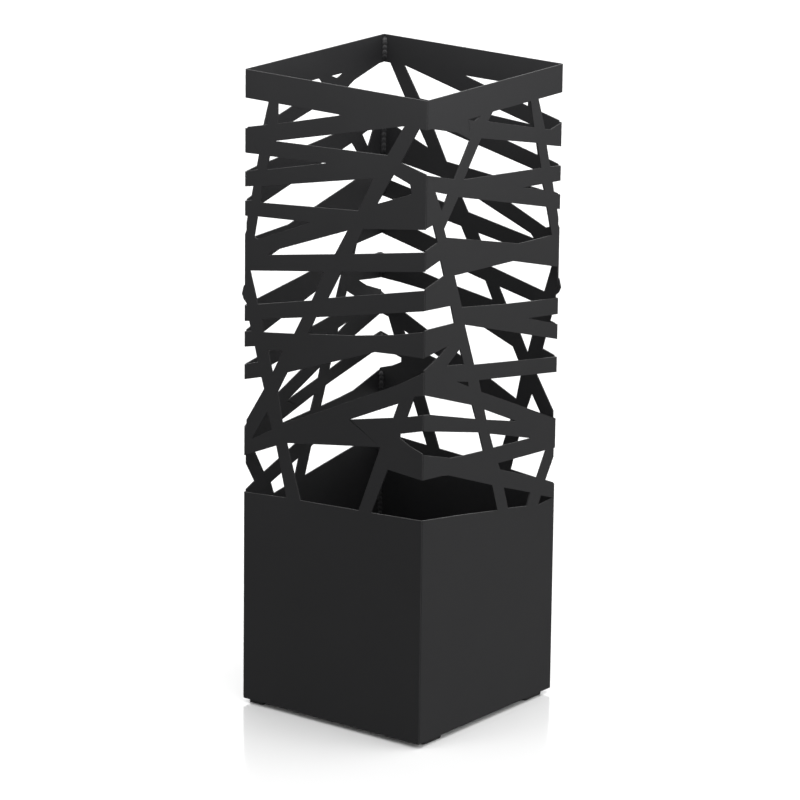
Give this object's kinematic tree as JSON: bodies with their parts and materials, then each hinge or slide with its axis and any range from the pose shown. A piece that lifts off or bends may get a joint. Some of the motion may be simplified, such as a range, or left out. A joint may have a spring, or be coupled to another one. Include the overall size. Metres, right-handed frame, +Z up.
{
  "type": "umbrella stand",
  "caption": "Square floor-standing umbrella holder folded from laser-cut sheet, with a slanting-bar lattice over a closed lower box and a lift-out drip tray.",
  "frame": {"origin": "centre of the footprint on the surface the stand rests on", "axes": "+Z up the tower; X and Y square to its four faces, the seams at the corners (+X, -Y) and (-X, +Y), the folds at the other two"},
  "size_m": [0.1736, 0.17, 0.497],
  "materials": {
    "powder_coated_steel": "fine matte black powder coat",
    "coated_weld": "weld bead under the same black powder coat",
    "tray_plastic": "fine-textured moulded black plastic",
    "pad_rubber": "matte black rubber"
  },
  "bodies": {
    "stand": {"shell_right": "powder_coated_steel", "shell_left": "powder_coated_steel", "floor_pan": "powder_coated_steel", "pan_weld_right": "coated_weld", "pan_weld_rear": "coated_weld", "pan_weld_left": "coated_weld", "pan_weld_near": "coated_weld", "seam_weld_front_1": "coated_weld", "seam_weld_front_2": "coated_weld", "seam_weld_front_3": "coated_weld", "seam_weld_front_4": "coated_weld", "seam_weld_front_5": "coated_weld", "seam_weld_front_6": "coated_weld", "seam_weld_front_7": "coated_weld", "seam_weld_front_8": "coated_weld", "seam_weld_front_9": "coated_weld", "seam_weld_back_1": "coated_weld", "seam_weld_back_2": "coated_weld", "seam_weld_back_3": "coated_weld", "seam_weld_back_4": "coated_weld", "seam_weld_back_5": "coated_weld", "seam_weld_back_6": "coated_weld", "seam_weld_back_7": "coated_weld", "seam_weld_back_8": "coated_weld", "seam_weld_back_9": "coated_weld", "foot_front": "pad_rubber", "foot_right": "pad_rubber", "foot_back": "pad_rubber", "foot_left": "pad_rubber"},
    "tray": {"drip_tray": "tray_plastic"}
  },
  "joints": [
    {"name": "tray_lift", "type": "slide", "parent": "stand", "child": "tray", "axis": [0, 0, 1], "range_m": [0, 0.51]}
  ]
}
